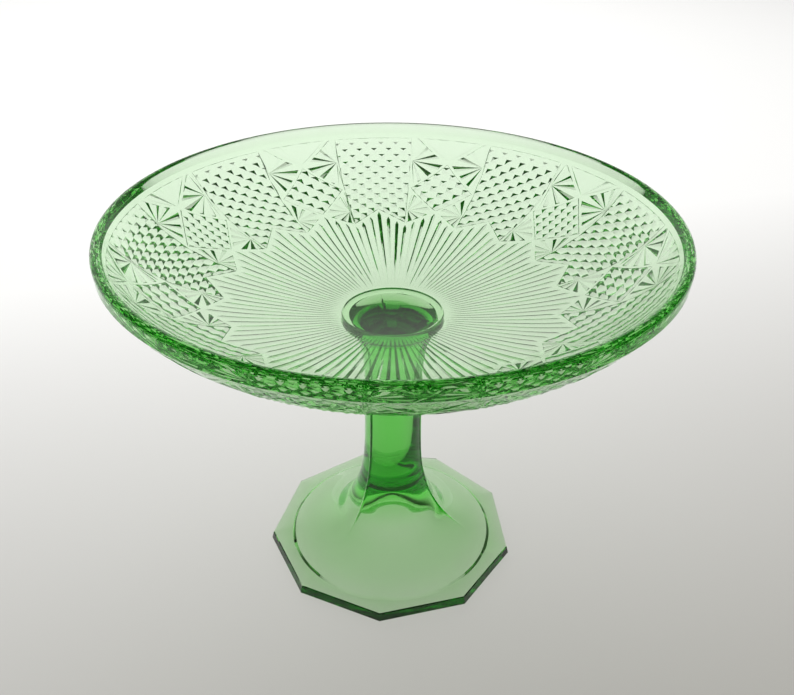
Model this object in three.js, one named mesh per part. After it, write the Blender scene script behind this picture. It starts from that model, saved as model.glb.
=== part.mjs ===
// A footed pressed-glass dish: a shallow round bowl on a solid stem with a
// nine-sided hollow foot. Millimetres, +Z up. The origin is the centre of the
// foot's resting plane, and a corner of the foot points along +X.
import * as THREE from "three";

// ---- driving dimensions -------------------------------------------------
const SEGMENTS = 72;             // around the axis: divides by nine and by four
const GAP = 0.3;                 // clearance between neighbouring pieces

const RIM_RADIUS = 108;
const TOTAL_HEIGHT = 154;
const LIP_RADIUS = 2.1;          // rounding of the rim
const LIP_STEP = 30;             // degrees between points of the rounding
const LIP_END = 150;
const WALL_THICKNESS = 5.2;
const CENTRE_HEIGHT = 107.7;     // where the underside would meet the axis
const FLOOR_SLOPE = 0.185;       // the even rise of the bowl's middle
const WALL_RISE = 20.7;          // what the steep outer wall adds at the rim
const WALL_POWER = 6.5;
const BOWL_STEPS = 12;
const BOWL_SPACING = 0.75;       // below one puts the points closer near the rim

const JOIN_RADIUS = 20.3;        // flat pad under the bowl, and the wafer
const WAFER_THICKNESS = 3;
const WAFER_BEVEL = 0.8;

const STEM_RADIUS = 11.2;
const STEM_TOP_RADIUS = 17.5;
const FOOT_SIDES = 9;
const FOOT_RADIUS = 53.3;        // to the corners, at the resting plane
const FOOT_TOP_RADIUS = 52.6;    // to the corners, at the top of the edge
const FOOT_EDGE = 3.8;
const FLARE = [                  // radius and height, from the foot to the stem
  [40, 7.4],
  [29.3, 12.2],
  [20.9, 19.4],
  [15.5, 28.6],
  [12.6, 39.2],
];
const STEM = [                   // what the stem adds to its radius, and height
  [0.3, 50],
  [0, 66],
  [0.2, 83],
  [1, 96],
  [2.8, 103.5],
];
const FLANK_STEPS = 22;
const HOLLOW_RADIUS = 43;
const HOLLOW = [                 // radius and height, from the axis to its bevel
  [0, 26],
  [4, 24.2],
  [9, 20],
  [15, 16],
  [22, 9],
  [31, 4.2],
  [42, 1.6],
];
const HOLLOW_STEPS = 12;
const STEM_FACES = 3;            // bowed faces that meet at three keels
const FACE_SHIFT = 0.19;         // how far beyond the axis the faces' centres lie
const FACES_FADE = 45;           // the radius where the three faces have faded
const SIDES_START = 36;          // and the one where the nine sides begin

// ---- materials ----------------------------------------------------------
const PALE_GLASS = { color: 0xb9dcae, roughness: 0.05, metalness: 0 };
const DEEP_GLASS = { color: 0x6fae62, roughness: 0.05, metalness: 0 };

// ---- helpers ------------------------------------------------------------
function point(radius, height) {
  return new THREE.Vector2(radius, height);
}

// A solid of revolution about +Z. Its outline starts and ends on the axis, and
// runs out along the underside and back along the top.
function revolve(outline) {
  const geometry = new THREE.LatheGeometry(outline, SEGMENTS);
  geometry.rotateX(Math.PI / 2);
  return geometry;
}

function makePiece(name, geometry, glass) {
  const mesh = new THREE.Mesh(geometry, new THREE.MeshStandardMaterial(glass));
  mesh.name = name;
  return mesh;
}

// ---- dish ---------------------------------------------------------------
function undersideHeight(radius) {
  const wall = WALL_RISE * Math.pow(radius / RIM_RADIUS, WALL_POWER);
  return CENTRE_HEIGHT + FLOOR_SLOPE * radius + wall;
}

function undersideSlope(radius) {
  const steepest = WALL_RISE * WALL_POWER / RIM_RADIUS;
  return FLOOR_SLOPE + steepest * Math.pow(radius / RIM_RADIUS, WALL_POWER - 1);
}

function undersidePoint(radius) {
  return point(radius, undersideHeight(radius));
}

// The matching point of the inner face, one wall thickness along the normal.
function innerPoint(radius) {
  const slope = undersideSlope(radius);
  const offset = WALL_THICKNESS / Math.hypot(1, slope);
  return point(radius - offset * slope, undersideHeight(radius) + offset);
}

// Radii from just outside the pad to the outer end of the wall.
function bowlRadii() {
  const radii = [];
  for (let i = 1; i <= BOWL_STEPS; i += 1) {
    const share = Math.pow(i / BOWL_STEPS, BOWL_SPACING);
    radii.push(THREE.MathUtils.lerp(JOIN_RADIUS, RIM_RADIUS - GAP, share));
  }
  return radii;
}

function lipPoints() {
  const centre = point(RIM_RADIUS - LIP_RADIUS, TOTAL_HEIGHT - LIP_RADIUS);
  const points = [];
  for (let angle = 0; angle <= LIP_END; angle += LIP_STEP) {
    const turn = THREE.MathUtils.degToRad(angle);
    points.push(point(
      centre.x + LIP_RADIUS * Math.cos(turn),
      centre.y + LIP_RADIUS * Math.sin(turn),
    ));
  }
  return points;
}

const PAD_HEIGHT = undersideHeight(JOIN_RADIUS);
const FLOOR_HEIGHT = innerPoint(JOIN_RADIUS).y;

function makeDish() {
  const radii = bowlRadii();
  const innerRadii = radii.slice(0, -1).reverse();
  return revolve([
    point(0, PAD_HEIGHT),
    point(JOIN_RADIUS, PAD_HEIGHT),
    ...radii.map(undersidePoint),
    ...lipPoints(),
    ...innerRadii.map(innerPoint),
    point(JOIN_RADIUS, FLOOR_HEIGHT),
    point(0, FLOOR_HEIGHT),
  ]);
}

// ---- join wafer ---------------------------------------------------------
const WAFER_TOP = PAD_HEIGHT - GAP;
const WAFER_BOTTOM = WAFER_TOP - WAFER_THICKNESS;

function makeJoinWafer() {
  return revolve([
    point(0, WAFER_BOTTOM),
    point(JOIN_RADIUS - WAFER_BEVEL, WAFER_BOTTOM),
    point(JOIN_RADIUS, WAFER_BOTTOM + WAFER_BEVEL),
    point(JOIN_RADIUS, WAFER_TOP - WAFER_BEVEL),
    point(JOIN_RADIUS - WAFER_BEVEL, WAFER_TOP),
    point(0, WAFER_TOP),
  ]);
}

// ---- pedestal -----------------------------------------------------------
const PEDESTAL_TOP = WAFER_BOTTOM - GAP;

// The flank, from the top of the foot's edge up to the stem's top face.
function flankPoints() {
  const curve = new THREE.SplineCurve([
    point(FOOT_TOP_RADIUS, FOOT_EDGE),
    ...FLARE.map(([radius, height]) => point(radius, height)),
    ...STEM.map(([extra, height]) => point(STEM_RADIUS + extra, height)),
    point(STEM_TOP_RADIUS, PEDESTAL_TOP),
  ]);
  return curve.getPoints(FLANK_STEPS);
}

// A bell-shaped hollow under the foot, from its top out to the resting ring.
function hollowPoints() {
  const curve = new THREE.SplineCurve(HOLLOW.map(([radius, height]) => point(radius, height)));
  return [...curve.getPoints(HOLLOW_STEPS), point(HOLLOW_RADIUS, 0)];
}

// How far out a nine-sided outline lies, as a share of its corner radius.
function sideFactor(azimuth) {
  const side = 2 * Math.PI / FOOT_SIDES;
  const across = azimuth - side * Math.floor(azimuth / side);
  return Math.cos(side / 2) / Math.cos(across - side / 2);
}

// Three bowed faces that meet at keels, the first keel at azimuth 0, as a share
// of the radius at a face's middle.
function faceFactor(azimuth) {
  const third = 2 * Math.PI / STEM_FACES;
  const across = azimuth - third * Math.floor(azimuth / third) - third / 2;
  const reach = (1 + FACE_SHIFT) ** 2 - (FACE_SHIFT * Math.sin(across)) ** 2;
  return Math.sqrt(reach) - FACE_SHIFT * Math.cos(across);
}

// Three-faced at the stem and nine-sided at the foot's edge. The hollow, which is
// the start of the outline, and the top, its last two points, stay round.
function shapeSkin(geometry, outlineLength, hollowLength) {
  const position = geometry.attributes.position;
  for (let i = 0; i < position.count; i += 1) {
    const place = i % outlineLength;
    if (place < hollowLength || place >= outlineLength - 2) continue;
    const x = position.getX(i);
    const y = position.getY(i);
    const radius = Math.hypot(x, y);
    const azimuth = Math.atan2(y, x) + 2 * Math.PI;
    const faced = 1 - THREE.MathUtils.smoothstep(radius, STEM_RADIUS, FACES_FADE);
    const sided = THREE.MathUtils.smoothstep(radius, SIDES_START, FOOT_TOP_RADIUS);
    const shape = faced * (faceFactor(azimuth) - 1) + sided * (sideFactor(azimuth) - 1);
    position.setXY(i, x * (1 + shape), y * (1 + shape));
  }
}

function makePedestal() {
  const hollow = hollowPoints();
  const outline = [
    ...hollow,
    point(FOOT_RADIUS, 0),
    ...flankPoints(),
    point(0, PEDESTAL_TOP),
  ];
  const geometry = revolve(outline);
  shapeSkin(geometry, outline.length, hollow.length);
  return geometry;
}

const group = new THREE.Group();
group.add(makePiece("dish", makeDish(), PALE_GLASS));
group.add(makePiece("join_wafer", makeJoinWafer(), DEEP_GLASS));
group.add(makePiece("pedestal", makePedestal(), DEEP_GLASS));

export default group;
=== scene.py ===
import math

import bmesh
import bpy
from mathutils import Matrix, Vector
from mathutils.geometry import delaunay_2d_cdt


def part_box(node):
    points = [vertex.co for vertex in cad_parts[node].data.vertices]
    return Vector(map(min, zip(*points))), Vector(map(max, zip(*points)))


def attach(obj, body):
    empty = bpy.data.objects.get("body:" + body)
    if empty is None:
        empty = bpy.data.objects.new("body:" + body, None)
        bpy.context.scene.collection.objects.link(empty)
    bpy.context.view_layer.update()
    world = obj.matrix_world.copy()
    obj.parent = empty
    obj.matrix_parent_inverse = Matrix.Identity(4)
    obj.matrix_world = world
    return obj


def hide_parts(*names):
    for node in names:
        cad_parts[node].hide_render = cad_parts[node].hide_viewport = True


# A pressed uranium-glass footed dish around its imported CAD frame. Lengths are
# metres unless a comment says millimetres, and angles are degrees unless noted.

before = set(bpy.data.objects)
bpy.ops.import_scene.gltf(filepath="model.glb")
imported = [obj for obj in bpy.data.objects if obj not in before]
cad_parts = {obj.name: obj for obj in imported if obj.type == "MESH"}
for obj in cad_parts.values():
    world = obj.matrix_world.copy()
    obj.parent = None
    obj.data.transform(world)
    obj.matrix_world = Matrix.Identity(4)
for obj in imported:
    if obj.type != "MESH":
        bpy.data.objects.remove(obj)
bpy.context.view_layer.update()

MM = 0.001

# ---- sizes taken from the frame -----------------------------------------
DISH_LOW, DISH_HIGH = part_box("dish")
_, PEDESTAL_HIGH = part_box("pedestal")
WAFER_LOW, WAFER_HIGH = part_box("join_wafer")
RIM_RADIUS = DISH_HIGH[0]
RIM_HEIGHT = DISH_HIGH[2]
PAD_HEIGHT = DISH_LOW[2]
JOIN_RADIUS = WAFER_HIGH[0]
FOOT_RADIUS = PEDESTAL_HIGH[0]
STEM_TOP_RADIUS = 17.5 * MM

# ---- the bowl's outline, as in the CAD ----------------------------------
LIP_RADIUS = 2.1 * MM
WALL_THICKNESS = 5.2 * MM
FLOOR_SLOPE = 0.185
WALL_RISE = 20.7 * MM
WALL_POWER = 6.5
WALL_END = RIM_RADIUS - 0.3 * MM

# ---- the pattern under the bowl -----------------------------------------
SECTORS = 9                      # one small and one large panel each
SECTOR = 360 / SECTORS
PANEL = SECTOR / 2
THIRDS = 3                       # parts of the mould, three sectors each
RAYS = 12                        # in a sector
RAY_STEP = SECTOR / RAYS
RING_STEP = RAY_STEP / 3         # between the points of a smooth ring

# Radii of the pattern's corners, as shares of the rim radius.
RAY_INNER = 0.2
ZIGZAG_LOW = 0.595               # on the lines between the panels
ZIGZAG_HIGH = 0.678              # on the axes of the panels
SIDE_CORNER = 0.802
FAN_HUB = 0.915
PATTERN_EDGE = 0.988
V_FAN_HALF = 8.3                 # degrees either side of a small panel's axis

BAND = 0.5 * MM                  # half the width of the smooth bands
SIDE_BAND = 0.3 * MM             # the same for the lines between the panels
RAMP = 0.2 * MM                  # from a band down into the relief
LATTICE_DEPTH = 1.25 * MM
GRID_DEPTH = 1.0 * MM
BROW_AT = 1.15                   # where the steep corners start: 1 is a side, 2 a corner
BROW_DROP = 0.36                 # the share of a pyramid's depth down to there
FAN_DEPTH = 0.9 * MM
RIM_FADE = 9 * MM                # the relief gets shallower over this distance to its edge
RIM_SHARE = 0.3                  # and this is what is left of its depth there
SEAM_HEIGHT = 0.12 * MM
LARGE_DIAMOND = (3.45 * MM, 3.15 * MM)    # half diagonals across and along
SMALL_DIAMOND = (3.75 * MM, 3.65 * MM)
SQUARE_PITCH = 3.85 * MM
SMALL_REACH = 9                  # pyramids drawn either way from the middle one, then cut off
LARGE_REACH = 16
FAN_RAYS = (-75, -45, -15, 15, 45, 75)
V_FAN_RAYS = (-37, -13, 13, 37)
TINY = 1e-9                      # for rounding errors


# ---- outline helpers ----------------------------------------------------
def underside_height(radius):
    centre = PAD_HEIGHT - FLOOR_SLOPE * JOIN_RADIUS - wall_rise(JOIN_RADIUS)
    return centre + FLOOR_SLOPE * radius + wall_rise(radius)


def wall_rise(radius):
    return WALL_RISE * (radius / RIM_RADIUS) ** WALL_POWER


def underside_slope(radius):
    return FLOOR_SLOPE + WALL_POWER * wall_rise(radius) / radius


def underside_normal(radius):
    """The (radial, vertical) direction that points out of the glass."""
    slope = underside_slope(radius)
    length = math.hypot(1, slope)
    return slope / length, -1 / length


def inner_point(radius):
    """The inner face's (radius, height) across the wall from the underside."""
    out, down = underside_normal(radius)
    return radius - out * WALL_THICKNESS, underside_height(radius) - down * WALL_THICKNESS


ARC_STEPS = 400
ARC_START = 0.15 * RIM_RADIUS
ARC_STRIDE = (RIM_RADIUS - ARC_START) / ARC_STEPS
ARCS = [0.0]
for step in range(ARC_STEPS):
    middle = ARC_START + (step + 0.5) * ARC_STRIDE
    ARCS.append(ARCS[-1] + ARC_STRIDE * math.hypot(1, underside_slope(middle)))


def arc_of(radius):
    """Distance along the underside's outline out to a radius."""
    place = min(max((radius - ARC_START) / ARC_STRIDE, 0), ARC_STEPS - TINY)
    low = int(place)
    return ARCS[low] + (place - low) * (ARCS[low + 1] - ARCS[low])


def radius_at(arc):
    """The radius at a distance along the underside's outline."""
    low, high = 0, ARC_STEPS
    while high - low > 1:
        middle = (low + high) // 2
        if ARCS[middle] <= arc:
            low = middle
        else:
            high = middle
    return ARC_START + (low + (arc - ARCS[low]) / (ARCS[high] - ARCS[low])) * ARC_STRIDE


# ---- the flat sheet that a sector is drawn on ---------------------------
# x is the angle from the sector's start times SHEET_RADIUS, y is the arc.
SHEET_RADIUS = 0.8 * RIM_RADIUS
PARALLEL = 1e-14                 # lines with a smaller cross product do not meet
SHORTEST = 1e-6                  # shares of a crease shorter than this are left out
SHEET_WELD = 2e-6                # points of the sheet this close are one
SHEET_GRID = 1e-7                # and so are those that round to one place on this grid


def sheet(angle, share):
    """The sheet's point at an angle and a share of the rim radius."""
    return Vector((math.radians(angle) * SHEET_RADIUS, arc_of(share * RIM_RADIUS)))


def chord(start, end, parts=4):
    """Sheet points between two (angle, share) corners, without the end.

    The line is straight seen from above, or an arc between corners of one radius.
    """
    if start[1] == end[1]:
        angles = [start[0] + (end[0] - start[0]) * i / parts for i in range(parts)]
        return [sheet(angle, start[1]) for angle in angles]
    ends = []
    for angle, share in (start, end):
        turn = math.radians(angle)
        ends.append(Vector((share * math.cos(turn), share * math.sin(turn))))
    spots = [ends[0].lerp(ends[1], i / parts) for i in range(parts)]
    return [sheet(math.degrees(math.atan2(spot.y, spot.x)), spot.length) for spot in spots]


def outline(corners):
    """A closed sheet outline through (angle, share) corners, anticlockwise."""
    points = []
    for start, end in zip(corners, corners[1:] + corners[:1]):
        points += chord(start, end)
    area = sum(a.cross(b) for a, b in zip(points, points[1:] + points[:1]))
    return points if area > 0 else points[::-1]


def inset(points, distance):
    """The outline moved in by a distance at each side."""
    moved = []
    count = len(points)
    for i, spot in enumerate(points):
        before = (spot - points[i - 1]).normalized()
        after = (points[(i + 1) % count] - spot).normalized()
        left, right = [Vector((-way.y, way.x)) for way in (before, after)]
        moved.append(spot + distance * (left + right) / (1 + left.dot(right)))
    return moved


def crossings(start, end, points):
    """Shares of the way from start to end where the line crosses an outline."""
    way = end - start
    found = []
    for a, b in zip(points, points[1:] + points[:1]):
        side = b - a
        slant = way.cross(side)
        if abs(slant) < PARALLEL:
            continue
        along = (a - start).cross(side) / slant
        across = (a - start).cross(way) / slant
        if -TINY <= across <= 1 + TINY:
            found.append(along)
    return sorted(found)


def is_inside(spot, points):
    """Whether a line from the spot to a far place crosses the outline an odd number of times."""
    far = Vector((1.0, 0.1234))
    return sum(1 for along in crossings(spot, far, points) if along > 0) % 2 == 1


class Relief:
    """Points with heights above the plain underside, and the creases between them."""

    def __init__(self):
        self.index = {}
        self.spots = []
        self.heights = []
        self.edges = []

    def add(self, spot, height):
        key = (round(spot.x / SHEET_GRID), round(spot.y / SHEET_GRID))
        if key not in self.index:
            self.index[key] = len(self.spots)
            self.spots.append(spot)
            self.heights.append(height)
        return self.index[key]

    def line(self, spots, heights, closed=False):
        marks = [self.add(spot, height) for spot, height in zip(spots, heights)]
        ends = marks[1:] + marks[:1] if closed else marks[1:]
        self.edges += [(a, b) for a, b in zip(marks, ends) if a != b]

    def clipped(self, start, end, start_height, end_height, points):
        """Adds the parts of a crease that lie inside an outline."""
        inner = [along for along in crossings(start, end, points) if 0 < along < 1]
        stops = [0.0] + inner + [1.0]
        rise = end_height - start_height
        for near, far in zip(stops, stops[1:]):
            if far - near < SHORTEST or not is_inside(start.lerp(end, (near + far) / 2), points):
                continue
            ends = [start.lerp(end, along) for along in (near, far)]
            self.line(ends, [start_height + along * rise for along in (near, far)])

    def region(self, corners, band, height_at):
        """Draws the edge of a smooth band and, a ramp inside it, the edge of the relief.

        height_at gives the relief's height at a spot. Returns the relief's edge.
        """
        border = outline(corners)
        bank = inset(border, band)
        foot = inset(border, band + RAMP)
        self.line(bank, [0.0] * len(bank), closed=True)
        self.line(foot, [height_at(spot) for spot in foot], closed=True)
        return foot


# ---- relief: rows of pyramids -------------------------------------------
class Lattice:
    """Pyramids about a panel's axis, steeper at their corners. One fills each unit square."""

    def __init__(self, axis, share, step_p, step_q, depth):
        self.axis = math.radians(axis)
        self.origin = arc_of(share * RIM_RADIUS)
        self.steps = Matrix(((step_p[0], step_q[0]), (step_p[1], step_q[1])))
        self.inverse = self.steps.inverted()
        self.depth = depth

    def spot(self, p, q):
        """The sheet's point at a place in the lattice, whose whole numbers are tips."""
        across, along = self.steps @ Vector((p, q))
        arc = self.origin + along
        return Vector(((self.axis + across / radius_at(arc)) * SHEET_RADIUS, arc))

    def height(self, spot):
        """How high the pyramids are at a spot: 0 at their tips, and down to -depth."""
        across = (spot.x / SHEET_RADIUS - self.axis) * radius_at(spot.y)
        p, q = self.inverse @ Vector((across, spot.y - self.origin))
        p, q = 2 * abs(p - round(p)), 2 * abs(q - round(q))
        if p + q < BROW_AT:
            return -self.depth * BROW_DROP * max(p, q, (p + q) / BROW_AT)
        corner = (p + q - BROW_AT) / (2 - BROW_AT)
        return -self.depth * max(BROW_DROP, BROW_DROP + (1 - BROW_DROP) * corner)

    def draw(self, relief, foot, reach):
        """Draws the creases inside an outline.

        Eight run from each pyramid's tip to its brow, the eight-cornered line where the
        steeper corners start. The others are the brow and the valleys beyond it.
        """
        brow = -self.depth * BROW_DROP
        cut = (BROW_AT - 1) / 2
        half = ((0.5, -cut), (0.5, cut), (cut, 0.5), (-cut, 0.5))
        eight = half + tuple((-a, -b) for a, b in half)
        for p in range(-reach, reach + 1):
            for q in range(-reach, reach + 1):
                middle = self.spot(p, q)
                brim = [self.spot(p + a, q + b) for a, b in eight]
                for i in range(8):
                    relief.clipped(middle, brim[i], 0.0, brow, foot)
                    if i % 2:
                        relief.clipped(brim[i], brim[(i + 1) % 8], brow, brow, foot)
                corner = self.spot(p + 0.5, q + 0.5)
                relief.clipped(self.spot(p + 0.5, q - 0.5), brim[0], -self.depth, brow, foot)
                relief.clipped(brim[0], brim[1], brow, brow, foot)
                relief.clipped(brim[1], corner, brow, -self.depth, foot)
                relief.clipped(corner, brim[2], -self.depth, brow, foot)
                relief.clipped(brim[2], brim[3], brow, brow, foot)
                relief.clipped(brim[3], self.spot(p - 0.5, q + 0.5), brow, -self.depth, foot)


def diamonds(axis, share, half, depth):
    return Lattice(axis, share, half, (half[0], -half[1]), depth)


def squares(axis, share, pitch, depth):
    return Lattice(axis, share, (pitch, 0.0), (0.0, pitch), depth)


# ---- relief: fans of V-shaped cuts --------------------------------------
FAN_REACH = 0.5 * RIM_RADIUS
FAN_SPREAD = 9                   # half the width of a cut, as an angle
FAN_FULL = 9 * MM                # the distance at which a cut has its full depth
FAN_SHORTEST = 0.01              # shares of FAN_REACH shorter than this are no cut


def draw_fan(relief, foot, heart, facing, rays):
    """Cuts that spread from the point where a line from heart enters the outline."""
    toward = Vector((math.cos(math.radians(facing)), math.sin(math.radians(facing))))
    met = crossings(heart, heart + toward * FAN_REACH, foot)
    entry = next(along for along in met if along > -TINY)
    hub = heart + toward * FAN_REACH * entry
    hub_mark = relief.add(hub, 0.0)
    for ray in rays:
        for turn, depth in ((ray - FAN_SPREAD, 0), (ray, FAN_DEPTH), (ray + FAN_SPREAD, 0)):
            angle = math.radians(facing + turn)
            reach = Vector((math.cos(angle), math.sin(angle))) * FAN_REACH
            met = crossings(hub, hub + reach, foot)
            hits = [along for along in met if along > FAN_SHORTEST]
            if not hits:
                continue
            end = hub + reach * hits[0]
            full = min(1.0, hits[0] * FAN_REACH / FAN_FULL)
            relief.edges.append((hub_mark, relief.add(end, -depth * full)))


# ---- relief: the rays round the middle ----------------------------------
RAY_LEVELS = [0.24 + 0.04 * i for i in range(9)]
RAY_WIDTH = 0.2                  # half the cut, as a share of the ray spacing
RAY_TIP = 2.2 * MM
RAY_DEPTH = 0.46 * MM
RAY_FULL = 0.6 * RIM_RADIUS      # the radius at which a ray has its full depth
RAY_POWER = 1.6                  # above one makes a ray steeper towards its outer end
RAY_UNEVEN = 0.3                 # how much deeper or shallower a ray may be, as a share
RAY_STRIDE = 5                   # a ray's next neighbour is this far on in the order of depths


def zigzag_radius(angle):
    """The edge between the rays and the panels: straight lines seen from above."""
    across = math.radians(min(angle % PANEL, PANEL - angle % PANEL))
    whole = math.radians(PANEL / 2)
    low, high = ZIGZAG_LOW * RIM_RADIUS, ZIGZAG_HIGH * RIM_RADIUS
    return low * high * math.sin(whole) / (
        low * math.sin(across) + high * math.sin(whole - across))


def ray_end(angle):
    """The radius of a ray's outer tip, a smooth band short of the panels."""
    return zigzag_radius(angle) - 2 * BAND


def draw_ray(relief, place):
    """One V-shaped cut along a radius, pointed at both ends, kept inside the sector."""
    angle = place * RAY_STEP
    order = place * RAY_STRIDE % RAYS
    uneven = 1 + RAY_UNEVEN * (2 * order / (RAYS - 1) - 1)
    end = ray_end(angle)
    radii = [level * RIM_RADIUS for level in RAY_LEVELS]
    radii = [radius for radius in radii if radius < end - 1.5 * RAY_TIP]
    radii.append(end - RAY_TIP)
    tips = [sheet(angle, RAY_INNER), sheet(angle, end / RIM_RADIUS)]
    valley = [Vector((tips[0].x, arc_of(radius))) for radius in radii]
    depths = [-RAY_DEPTH * uneven * (radius / RAY_FULL) ** RAY_POWER for radius in radii]
    relief.line([tips[0]] + valley + [tips[1]], [0.0] + depths + [0.0])
    half = RAY_WIDTH * math.radians(RAY_STEP) * SHEET_RADIUS
    for side in (-1, 1):
        if 0 <= tips[0].x + side * half <= math.radians(SECTOR) * SHEET_RADIUS:
            edge = [spot + Vector((side * half, 0)) for spot in valley]
            relief.line([tips[0]] + edge + [tips[1]], [0.0] * (len(edge) + 2))


# ---- one sector ---------------------------------------------------------
# A small panel's axis is at SMALL_AXIS and a large one's at LARGE_AXIS. The bands
# beside the lines between them are narrower, so the outlines reach SLIP over a line.
SMALL_AXIS = PANEL / 2
LARGE_AXIS = SECTOR - SMALL_AXIS
SLIP = math.degrees((BAND - SIDE_BAND) / SHEET_RADIUS)
LINE_PARTS = 12
SECTOR_KINDS = (                 # squares in the small panel or not, the seam's angle
    (False, 0),
    (True, None),
    (False, SECTOR),
)


def plain(spot):
    """The height inside an outline that only has a fan."""
    return 0.0


def side_arcs():
    """Arcs of the points on the line between two panels, outside the rays."""
    low, high = arc_of(ray_end(0)), arc_of(PATTERN_EDGE * RIM_RADIUS)
    return [low + (high - low) * i / LINE_PARTS for i in range(1, LINE_PARTS)]


def draw_frame(relief, seam):
    """The sector's four edges and its rays."""
    for share in (JOIN_RADIUS / RIM_RADIUS, PATTERN_EDGE):
        edge = [sheet(i * RING_STEP, share) for i in range(round(SECTOR / RING_STEP) + 1)]
        relief.line(edge, [0.0] * len(edge))
    for place in range(RAYS + 1):
        draw_ray(relief, place)
    for angle in (0, SECTOR):
        edge = [sheet(angle, JOIN_RADIUS / RIM_RADIUS), sheet(angle, RAY_INNER)]
        relief.line(edge, [0.0, 0.0])
        x = math.radians(angle) * SHEET_RADIUS
        edge = [Vector((x, arc)) for arc in side_arcs()]
        edge = [sheet(angle, ray_end(0) / RIM_RADIUS)] + edge + [sheet(angle, PATTERN_EDGE)]
        raised = SEAM_HEIGHT if angle == seam else 0.0
        relief.line(edge, [0.0] + [raised] * (len(edge) - 2) + [0.0])


def draw_panels(relief, squared):
    """The small panel's rhombus and the large panel, both filled with pyramids."""
    rhombus = [
        (0, SIDE_CORNER),
        (SMALL_AXIS, ZIGZAG_HIGH),
        (PANEL, SIDE_CORNER),
        (SMALL_AXIS, FAN_HUB),
    ]
    if squared:
        lattice = squares(SMALL_AXIS, SIDE_CORNER, SQUARE_PITCH, GRID_DEPTH)
    else:
        lattice = diamonds(SMALL_AXIS, SIDE_CORNER, SMALL_DIAMOND, LATTICE_DEPTH)
    foot = relief.region(rhombus, BAND, lattice.height)
    lattice.draw(relief, foot, SMALL_REACH)

    lattice = diamonds(LARGE_AXIS, ZIGZAG_HIGH, LARGE_DIAMOND, LATTICE_DEPTH)
    large = [
        (PANEL - SLIP, ZIGZAG_LOW),
        (LARGE_AXIS, ZIGZAG_HIGH),
        (SECTOR + SLIP, ZIGZAG_LOW),
        (SECTOR + SLIP, PATTERN_EDGE),
        (PANEL - SLIP, PATTERN_EDGE),
    ]
    foot = relief.region(large, BAND, lattice.height)
    lattice.draw(relief, foot, LARGE_REACH)


def draw_fans(relief):
    """The fans in the small panel: two at each side of the rhombus and one above it."""
    for side, heart, facing in ((-SLIP, 0, 0), (PANEL + SLIP, PANEL, 180)):
        inner = [(side, ZIGZAG_LOW), (SMALL_AXIS, ZIGZAG_HIGH), (side, SIDE_CORNER)]
        foot = relief.region(inner, BAND, plain)
        draw_fan(relief, foot, sheet(heart, ZIGZAG_HIGH), facing, FAN_RAYS)
        outer = [
            (side, SIDE_CORNER),
            (SMALL_AXIS, FAN_HUB),
            (SMALL_AXIS + math.copysign(V_FAN_HALF, side - SMALL_AXIS), PATTERN_EDGE),
            (side, PATTERN_EDGE),
        ]
        foot = relief.region(outer, BAND, plain)
        draw_fan(relief, foot, sheet(heart, FAN_HUB), facing, FAN_RAYS)
    v_shape = [
        (SMALL_AXIS, FAN_HUB),
        (SMALL_AXIS + V_FAN_HALF, PATTERN_EDGE),
        (SMALL_AXIS - V_FAN_HALF, PATTERN_EDGE),
    ]
    foot = relief.region(v_shape, BAND, plain)
    draw_fan(relief, foot, sheet(SMALL_AXIS, FAN_HUB), 90, V_FAN_RAYS)


def draw_sector(squared, seam):
    """The relief of one sector of the underside.

    A squared sector has the fine squares in its small panel. seam is the angle of
    the edge that carries the mould's parting line, or None.
    """
    relief = Relief()
    draw_frame(relief, seam)
    draw_panels(relief, squared)
    draw_fans(relief)
    return relief


def mesh_sector(relief):
    """Triangles between the creases: a list of (angle, arc, height) and the faces."""
    spots, _, faces, sources, _, _ = delaunay_2d_cdt(
        relief.spots, relief.edges, [], 0, SHEET_WELD, True)
    points = []
    edge = arc_of(PATTERN_EDGE * RIM_RADIUS)
    for spot, source in zip(spots, sources):
        height = relief.heights[source[0]] if source else 0.0
        height *= min(1, RIM_SHARE + (1 - RIM_SHARE) * (edge - spot.y) / RIM_FADE)
        points.append((spot.x / SHEET_RADIUS, spot.y, height))
    return points, faces


# ---- the dish -----------------------------------------------------------
RING_COUNT = round(360 / RING_STEP)
LIP_STEPS = 10
LIP_END = 150
FLOOR_BLEND = 40 * MM            # inside this radius the floor levels out
FLOOR_DIP = 0.02 * MM            # how much lower the point at its middle is
INNER_STEPS = 36
FLOOR_STEPS = 14
WAFER_BEVEL = 0.8 * MM
WELD = 4e-6                      # points this close are joined
SLIVER = 1e-6                    # edges this short are dissolved
LEVEL = 1e-7                     # heights this close are the same
DISH_CREASE = 11                 # edges sharper than this angle stay sharp


def surface_point(angle, arc, height):
    """A point over the underside. angle is in radians."""
    radius = radius_at(arc)
    out, down = underside_normal(radius)
    reach = radius + out * height
    level = underside_height(radius) + down * height
    return (reach * math.cos(angle), reach * math.sin(angle), level)


def ring(radius, height):
    """Points round the axis."""
    turns = [math.radians(i * RING_STEP) for i in range(RING_COUNT)]
    return [(radius * math.cos(turn), radius * math.sin(turn), height) for turn in turns]


def lip_outline():
    """(radius, height) from the pattern's edge over the rounded rim."""
    points = []
    edge = RIM_RADIUS * PATTERN_EDGE
    for i in (1, 2):
        radius = edge + (WALL_END - edge) * i / 2
        points.append((radius, underside_height(radius)))
    centre = (RIM_RADIUS - LIP_RADIUS, RIM_HEIGHT - LIP_RADIUS)
    for i in range(LIP_STEPS + 1):
        turn = math.radians(LIP_END * i / LIP_STEPS)
        across, up = LIP_RADIUS * math.cos(turn), LIP_RADIUS * math.sin(turn)
        points.append((centre[0] + across, centre[1] + up))
    return points


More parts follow.
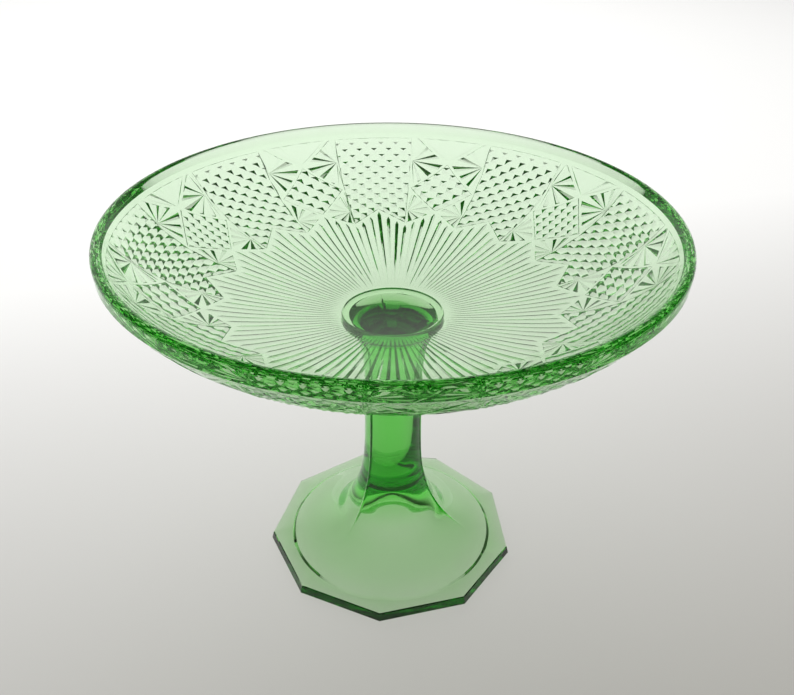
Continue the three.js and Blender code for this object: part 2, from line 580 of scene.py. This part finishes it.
def inner_outline():
    """(radius, height) from the rim down the inner face to near the axis."""
    points = []
    for i in range(1, INNER_STEPS):
        outer = WALL_END + (FLOOR_BLEND - WALL_END) * i / INNER_STEPS
        points.append(inner_point(outer))
    edge = inner_point(FLOOR_BLEND)
    sag = underside_slope(FLOOR_BLEND) * edge[0] / 2
    for i in range(FLOOR_STEPS):
        share = 1 - i / FLOOR_STEPS
        points.append((edge[0] * share, edge[1] - sag * (1 - share * share)))
    return points


def add_rings(shell, rings):
    """Joins rings of points, one after another, into the bmesh."""
    rows = [[shell.verts.new(spot) for spot in row] for row in rings]
    for low, high in zip(rows, rows[1:]):
        for i in range(RING_COUNT):
            j = (i + 1) % RING_COUNT
            shell.faces.new((low[i], low[j], high[j], high[i]))
    return rows


def close_ring(shell, row, height):
    """Fills the middle of a ring with a fan to a point on the axis."""
    middle = shell.verts.new((0, 0, height))
    for i in range(RING_COUNT):
        shell.faces.new((row[i], row[(i + 1) % RING_COUNT], middle))


def mark_fused(shell, joins):
    """Marks the level faces that are melted to the next piece.

    joins gives, for each height, the radius inside which they are.
    """
    layer = shell.faces.layers.float.new("fused")
    for face in shell.faces:
        middle = face.calc_center_median()
        for height, radius in joins.items():
            level = all(abs(vert.co.z - height) < LEVEL for vert in face.verts)
            if level and math.hypot(middle.x, middle.y) < radius:
                face[layer] = 1.0


def finish_mesh(shell, name, crease):
    """Welds a bmesh into a closed smooth piece. Edges sharper than crease stay sharp."""
    bmesh.ops.remove_doubles(shell, verts=shell.verts, dist=WELD)
    bmesh.ops.dissolve_degenerate(shell, edges=shell.edges, dist=SLIVER)
    bmesh.ops.recalc_face_normals(shell, faces=shell.faces)
    mesh = bpy.data.meshes.new(name)
    shell.to_mesh(mesh)
    shell.free()
    mesh.polygons.foreach_set("use_smooth", [True] * len(mesh.polygons))
    mesh.set_sharp_from_angle(angle=math.radians(crease))
    piece = bpy.data.objects.new(name, mesh)
    bpy.context.scene.collection.objects.link(piece)
    return piece


def make_dish():
    """The bowl: its underside in sectors, the rim, the inner face and the pad below."""
    shell = bmesh.new()
    drawings = [mesh_sector(draw_sector(*kind)) for kind in SECTOR_KINDS]
    for sector in range(SECTORS):
        points, faces = drawings[sector % len(drawings)]
        start = math.radians(sector * SECTOR)
        spots = [surface_point(start + angle, arc, height) for angle, arc, height in points]
        verts = [shell.verts.new(spot) for spot in spots]
        for face in faces:
            shell.faces.new([verts[i] for i in face])
    edge = RIM_RADIUS * PATTERN_EDGE
    rings = [ring(edge, underside_height(edge))]
    rings += [ring(*point) for point in lip_outline() + inner_outline()]
    rows = add_rings(shell, rings)
    close_ring(shell, rows[-1], rings[-1][0][2] - FLOOR_DIP)
    pad_radii = (JOIN_RADIUS, JOIN_RADIUS - WAFER_BEVEL, JOIN_RADIUS / 2)
    rows = add_rings(shell, [ring(radius, PAD_HEIGHT) for radius in pad_radii])
    close_ring(shell, rows[-1], PAD_HEIGHT)
    mark_fused(shell, {PAD_HEIGHT: JOIN_RADIUS - WAFER_BEVEL})
    return finish_mesh(shell, "glass_dish", DISH_CREASE)


# ---- the join wafer -----------------------------------------------------
CONTACT = 0.02 * MM              # what is left of the gap between fused pieces
WAFER_LOW_HEIGHT = WAFER_LOW[2]
WAFER_CREASE = 30


def rounded(corner, toward, away, radius, steps=5):
    """(radius, height) points round a right-angled corner.

    They start on the side that lies toward, and end on the one that lies away.
    """
    points = []
    for i in range(steps + 1):
        turn = math.radians(90 * i / steps)
        shift_in = radius * (1 - math.sin(turn))
        shift_out = radius * (1 - math.cos(turn))
        points.append((
            corner[0] + toward[0] * shift_in + away[0] * shift_out,
            corner[1] + toward[1] * shift_in + away[1] * shift_out,
        ))
    return points


def make_wafer():
    """The round disc between the bowl and the stem."""
    shell = bmesh.new()
    top = PAD_HEIGHT - CONTACT
    skin = [
        (JOIN_RADIUS / 2, WAFER_LOW_HEIGHT),
        (STEM_TOP_RADIUS, WAFER_LOW_HEIGHT),
        *rounded((JOIN_RADIUS, WAFER_LOW_HEIGHT), (-1, 0), (0, 1), WAFER_BEVEL),
        *rounded((JOIN_RADIUS, top), (0, -1), (-1, 0), WAFER_BEVEL),
        (JOIN_RADIUS / 2, top),
    ]
    rows = add_rings(shell, [ring(*point) for point in skin])
    close_ring(shell, rows[0], WAFER_LOW_HEIGHT)
    close_ring(shell, rows[-1], top)
    mark_fused(shell, {WAFER_LOW_HEIGHT: STEM_TOP_RADIUS, top: JOIN_RADIUS - WAFER_BEVEL})
    return finish_mesh(shell, "glass_join_wafer", WAFER_CREASE)


# ---- the pedestal -------------------------------------------------------
FOOT_TOP_RADIUS = 52.6 * MM
FOOT_EDGE = 3.8 * MM
EDGE_ROUND = 0.35 * MM
HOLLOW_RADIUS = 43 * MM
HOLLOW_STEPS = 60
HOLLOW = [                       # (radius, height) from the axis out, millimetres
    (0, 26), (4, 24.2), (9, 20), (15, 16), (22, 9), (31, 4.2), (42, 1.6),
]
HOLLOW_BEVEL = 0.3 * MM
FACE_SHIFT = 0.19                # how far beyond the axis the bowed faces' centres lie
SEAM_RIDGE = 0.35 * MM           # the parting lines that run down the keels
SEAM_HALF = 0.7 * MM
SEAM_ON_FOOT = 0.3               # what is left of their height where the faces have faded
LOBED_TO = 45 * MM               # outside this radius the three faces have faded
SIDED_FROM = 36 * MM             # and from this one the nine sides appear
STEM_RADIUS = 11.2 * MM
FLANK_LIFT = 0.05 * MM           # of the flank's first point over the foot's edge
FLANK_STEPS = 64
PEDESTAL_CREASE = 8
FLANK = [                        # (radius, height) from the foot's edge up, millimetres
    (40, 7.4), (29.3, 12.2), (20.9, 19.4), (15.5, 28.6), (12.6, 39.2),
    (11.5, 50), (11.2, 66), (11.4, 83), (12.2, 96), (14, 103.5),
]


def catmull(points, steps, before=None):
    """A smooth curve through points, with equally many steps between each pair.

    before is the point that the curve comes from, if it does not start at the first.
    """
    each = round(steps / (len(points) - 1))
    padded = [before or points[0]] + points + [points[-1]]
    curve = []
    for i in range(len(points) - 1):
        a, b, c, d = padded[i:i + 4]
        for step in range(each):
            t = step / each
            curve.append(tuple(
                0.5 * (2 * b[k] + (c[k] - a[k]) * t
                       + (2 * a[k] - 5 * b[k] + 4 * c[k] - d[k]) * t * t
                       + (3 * b[k] - a[k] - 3 * c[k] + d[k]) * t ** 3)
                for k in (0, 1)))
    return curve + [points[-1]]


def smoothstep(value, low, high):
    """From 0 at low to 1 at high, with a smooth start and end."""
    share = min(max((value - low) / (high - low), 0), 1)
    return share * share * (3 - 2 * share)


def bowed(angle):
    """Three bowed faces that meet at keels, as a share of the radius at a face's middle."""
    third = 2 * math.pi / THIRDS
    across = angle % third - third / 2
    reach = (1 + FACE_SHIFT) ** 2 - (FACE_SHIFT * math.sin(across)) ** 2
    return math.sqrt(reach) - FACE_SHIFT * math.cos(across)


def sided(angle):
    """Nine flat sides, as a share of the radius at their corners."""
    side = 2 * math.pi / SECTORS
    return math.cos(side / 2) / math.cos(angle % side - side / 2)


def skin_ring(radius, height, ridge=SEAM_RIDGE):
    """One level of the pedestal's skin, from the three-faced stem to the nine-sided foot."""
    three = 1 - smoothstep(radius, STEM_RADIUS, LOBED_TO)
    nine = smoothstep(radius, SIDED_FROM, FOOT_TOP_RADIUS)
    spots = []
    for i in range(RING_COUNT):
        turn = math.radians(i * RING_STEP)
        reach = radius * (1 + three * (bowed(turn) - 1) + nine * (sided(turn) - 1))
        beside = (turn + math.pi / THIRDS) % (2 * math.pi / THIRDS) - math.pi / THIRDS
        fade = SEAM_ON_FOOT + (1 - SEAM_ON_FOOT) * three
        reach += ridge * fade * max(0, 1 - abs(beside) * radius / SEAM_HALF)
        spots.append((reach * math.cos(turn), reach * math.sin(turn), height))
    return spots


def hollow_outline():
    """(radius, height) from near the axis out to the resting plane."""
    points = [(radius * MM, height * MM) for radius, height in HOLLOW]
    mirrored = (-points[1][0], points[1][1])
    curve = catmull(points, HOLLOW_STEPS, mirrored)
    return curve[1:] + [(HOLLOW_RADIUS - HOLLOW_BEVEL, HOLLOW_BEVEL), (HOLLOW_RADIUS, 0)]


def make_pedestal():
    """The stem and the foot with its hollow, from the hollow's middle out and up."""
    shell = bmesh.new()
    top = WAFER_LOW_HEIGHT - CONTACT
    flank = [(FOOT_TOP_RADIUS - EDGE_ROUND, FOOT_EDGE + FLANK_LIFT)]
    flank += [(radius * MM, height * MM) for radius, height in FLANK]
    flank.append((STEM_TOP_RADIUS, top))
    skin = [
        (FOOT_RADIUS - EDGE_ROUND, 0),
        (FOOT_RADIUS, EDGE_ROUND),
        (FOOT_TOP_RADIUS, FOOT_EDGE - EDGE_ROUND),
    ] + catmull(flank, FLANK_STEPS)
    rings = [ring(*point) for point in hollow_outline()]
    rings.append(skin_ring(*skin[0], ridge=0))
    rings += [skin_ring(*point) for point in skin[1:-1]]
    rings += [ring(radius, top) for radius in (STEM_TOP_RADIUS, STEM_TOP_RADIUS / 2)]
    rows = add_rings(shell, rings)
    close_ring(shell, rows[0], HOLLOW[0][1] * MM)
    close_ring(shell, rows[-1], top)
    mark_fused(shell, {top: STEM_TOP_RADIUS})
    return finish_mesh(shell, "glass_pedestal", PEDESTAL_CREASE)


# ---- glass --------------------------------------------------------------
GLASS_INDEX = 1.52
GLASS_ROUGHNESS = 0.02
ABSORPTION = (52, 11, 62)        # per metre, in red, green and blue
DENSITY = 100
RIPPLE_SCALE = 55                # of the fire-polished surface's unevenness, per metre
RIPPLE_DETAIL = 2
RIPPLE_HEIGHT = 0.6 * MM
RIPPLE_STRENGTH = 0.12


def make_glass(name, tint_and_shade_share):
    """Clear green glass, coloured by depth. Faces marked fused do not bend light."""
    material = bpy.data.materials.new(name)
    material.use_nodes = True
    nodes = material.node_tree.nodes
    links = material.node_tree.links
    shader = nodes["Principled BSDF"]
    shader.inputs["Base Color"].default_value = (1.0, 1.0, 1.0, 1)
    shader.inputs["Roughness"].default_value = GLASS_ROUGHNESS
    fused = nodes.new("ShaderNodeAttribute")
    fused.attribute_name = "fused"
    index = nodes.new("ShaderNodeMapRange")
    index.inputs["To Min"].default_value = GLASS_INDEX
    index.inputs["To Max"].default_value = 1.0
    links.new(fused.outputs["Fac"], index.inputs["Value"])
    links.new(index.outputs["Result"], shader.inputs["IOR"])
    shader.inputs["Transmission Weight"].default_value = 1
    place = nodes.new("ShaderNodeNewGeometry")
    ripple = nodes.new("ShaderNodeTexNoise")
    ripple.inputs["Scale"].default_value = RIPPLE_SCALE
    ripple.inputs["Detail"].default_value = RIPPLE_DETAIL
    bump = nodes.new("ShaderNodeBump")
    bump.inputs["Strength"].default_value = RIPPLE_STRENGTH
    bump.inputs["Distance"].default_value = RIPPLE_HEIGHT
    links.new(place.outputs["Position"], ripple.inputs["Vector"])
    links.new(ripple.outputs["Fac"], bump.inputs["Height"])
    links.new(bump.outputs["Normal"], shader.inputs["Normal"])
    depth = nodes.new("ShaderNodeVolumeAbsorption")
    depth.inputs["Color"].default_value = [1 - k / DENSITY for k in ABSORPTION] + [1]
    depth.inputs["Density"].default_value = DENSITY * tint_and_shade_share
    links.new(depth.outputs["Volume"], nodes["Material Output"].inputs["Volume"])
    return material


# ---- floor, light and camera --------------------------------------------
VIEW_AZIMUTH = 14.69
CAMERA_DISTANCE = 2.973 * RIM_RADIUS     # from the axis, level
CAMERA_HEIGHT = 2.781 * RIM_RADIUS
CAMERA_PITCH = 32.19
CAMERA_YAW = 0.32
CAMERA_ROLL = 0.64
LENS = 43.2
PAPER_SIZE = 6
PAPER_GAP = 0.3 * MM             # below the foot
# The paper's colour is painted light and shade: bright at the back left, darker and warmer
# towards the front right.
PAPER_LIGHT_AT_DISH = 0.63                # the painted light's level on the paper under the dish
PAPER_LIGHT_SLOPE = (-0.6, 0.95, 0)   # of the painted light per metre: the back left is painted brightest
PAPER_LIGHT_RANGE = (0.45, 0.95)
PAPER_ROUGHNESS = 0.9
# the painted shade's warm tint at the dark end, and the painted light's cool tint at the bright
# end
PAPER_SHADE_TINT = (1.0, 0.99, 0.935)
PAPER_LIGHT_TINT = (0.99, 0.995, 1.0)
LIGHT_AZIMUTH = 205              # where the light comes from: behind the dish, to the left
ROOM_TILT = -0.6                 # below zero, the room is dim overhead
ROOM_FROM = 0.2                  # the room brightens where it lies this much towards the light
ROOM_TO = 0.8                    # and is fully bright from here on
ROOM_FRONT = 0.09
ROOM_BACK = 0.8
ROOM_COLOUR = (1.0, 0.985, 0.955, 1)
LAMP_DISTANCE = 2.0
LAMP_SIZE = 1.4
LAMPS = (                        # name, elevation, watts, colour, casts a shadow
    ("window", 50, 3, (0.96, 0.98, 1.0), True),
    ("overhead", 65, 45, (1.0, 0.99, 0.97), False),
)
BOUNCES = 32                     # enough for light to get through the relief and the stem
GLOSSY_BOUNCES = 24
DIFFUSE_BOUNCES = 5


def make_floor():
    """Pale paper with painted light: its colour darkens away from the light as painted falloff,
    and is warmer where it is darker as painted shade.
    """
    bpy.ops.mesh.primitive_plane_add(size=PAPER_SIZE)
    floor = bpy.context.object
    floor.name = "floor"
    floor.location.z = -PAPER_GAP
    material = bpy.data.materials.new("paper")
    material.use_nodes = True
    nodes = material.node_tree.nodes
    links = material.node_tree.links
    place = nodes.new("ShaderNodeTexCoord")
    # painted light and shade: the paper's colour level follows its place on the floor
    light_falloff = nodes.new("ShaderNodeVectorMath")
    light_falloff.operation = "DOT_PRODUCT"
    light_falloff.inputs[1].default_value = PAPER_LIGHT_SLOPE
    painted_light = nodes.new("ShaderNodeMapRange")
    painted_light.inputs["From Min"].default_value = PAPER_LIGHT_RANGE[0] - PAPER_LIGHT_AT_DISH
    painted_light.inputs["From Max"].default_value = PAPER_LIGHT_RANGE[1] - PAPER_LIGHT_AT_DISH
    colour = nodes.new("ShaderNodeMix")
    colour.data_type = "RGBA"
    for name, tint, level in zip("AB", (PAPER_SHADE_TINT, PAPER_LIGHT_TINT), PAPER_LIGHT_RANGE):
        socket = next(s for s in colour.inputs if s.name == name and s.type == "RGBA")
        socket.default_value = [channel * level for channel in tint] + [1]
    links.new(place.outputs["Object"], light_falloff.inputs[0])
    links.new(light_falloff.outputs["Value"], painted_light.inputs["Value"])
    links.new(painted_light.outputs["Result"], colour.inputs["Factor"])
    result = next(s for s in colour.outputs if s.type == "RGBA")
    shader = nodes["Principled BSDF"]
    links.new(result, shader.inputs["Base Color"])
    shader.inputs["Roughness"].default_value = PAPER_ROUGHNESS
    floor.data.materials.append(material)


def make_lamp(name, elevation, watts, colour, shadow):
    """A soft square lamp that faces the dish from the light's azimuth."""
    a = math.radians(LIGHT_AZIMUTH)
    e = math.radians(elevation)
    back = Vector((math.sin(a) * math.cos(e), -math.cos(a) * math.cos(e), math.sin(e)))
    data = bpy.data.lights.new(name, "AREA")
    data.size = LAMP_SIZE
    data.energy = watts
    data.color = colour
    data.use_shadow = shadow
    lamp = bpy.data.objects.new(name, data)
    lamp.location = back * LAMP_DISTANCE + Vector((0, 0, PAD_HEIGHT))
    lamp.rotation_euler = back.to_track_quat("Z", "Y").to_euler()
    lamp.visible_glossy = False
    lamp.visible_transmission = False
    bpy.context.scene.collection.objects.link(lamp)


def make_world():
    """Soft light from low down at the back, and a dim room in front and overhead."""
    world = bpy.data.worlds.new("studio")
    bpy.context.scene.world = world
    world.use_nodes = True
    nodes = world.node_tree.nodes
    links = world.node_tree.links
    place = nodes.new("ShaderNodeTexCoord")
    facing = nodes.new("ShaderNodeVectorMath")
    facing.operation = "DOT_PRODUCT"
    turn = math.radians(LIGHT_AZIMUTH)
    facing.inputs[1].default_value = (math.sin(turn), -math.cos(turn), ROOM_TILT)
    fade = nodes.new("ShaderNodeMapRange")
    fade.interpolation_type = "SMOOTHSTEP"
    fade.inputs["From Min"].default_value = ROOM_FROM
    fade.inputs["From Max"].default_value = ROOM_TO
    fade.inputs["To Min"].default_value = ROOM_FRONT
    fade.inputs["To Max"].default_value = ROOM_BACK
    links.new(place.outputs["Generated"], facing.inputs[0])
    links.new(facing.outputs["Value"], fade.inputs["Value"])
    shade = nodes["Background"]
    shade.inputs["Color"].default_value = ROOM_COLOUR
    links.new(fade.outputs["Result"], shade.inputs["Strength"])


def make_camera():
    """A camera that looks down at the dish from the front."""
    turn = math.radians(VIEW_AZIMUTH)
    data = bpy.data.cameras.new("camera")
    data.lens = LENS
    camera = bpy.data.objects.new("camera", data)
    camera.location = (
        CAMERA_DISTANCE * math.sin(turn), -CAMERA_DISTANCE * math.cos(turn), CAMERA_HEIGHT)
    aim = Matrix.Rotation(math.radians(VIEW_AZIMUTH - CAMERA_YAW), 4, "Z")
    aim @= Matrix.Rotation(math.radians(90 - CAMERA_PITCH), 4, "X")
    aim @= Matrix.Rotation(math.radians(CAMERA_ROLL), 4, "Z")
    camera.rotation_euler = aim.to_euler()
    bpy.context.scene.collection.objects.link(camera)
    bpy.context.scene.camera = camera


# ---- the build ----------------------------------------------------------
# The last number is how strongly a piece's glass is coloured. The pedestal's is raised partly as
# painted shade, which darkens the foot as the bowl's shadow would under the shadowless overhead
# lamp.
for piece, node, slot, tint_and_shade_share in (
    (make_dish(), "dish", "dish_glass", 0.9),
    (make_wafer(), "join_wafer", "join_glass", 1.2),
    # painted shade: deeper colour in the pedestal stands in for the bowl's shadow over the foot
    (make_pedestal(), "pedestal", "pedestal_glass", 1.5),
):
    piece.data.materials.append(make_glass(slot, tint_and_shade_share))
    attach(piece, "root")
    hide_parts(node)

make_floor()
make_world()
for lamp in LAMPS:
    make_lamp(*lamp)
make_camera()
scene = bpy.context.scene
scene.view_settings.view_transform = "Standard"
scene.cycles.max_bounces = BOUNCES
scene.cycles.transmission_bounces = BOUNCES
scene.cycles.glossy_bounces = GLOSSY_BOUNCES
scene.cycles.diffuse_bounces = DIFFUSE_BOUNCES
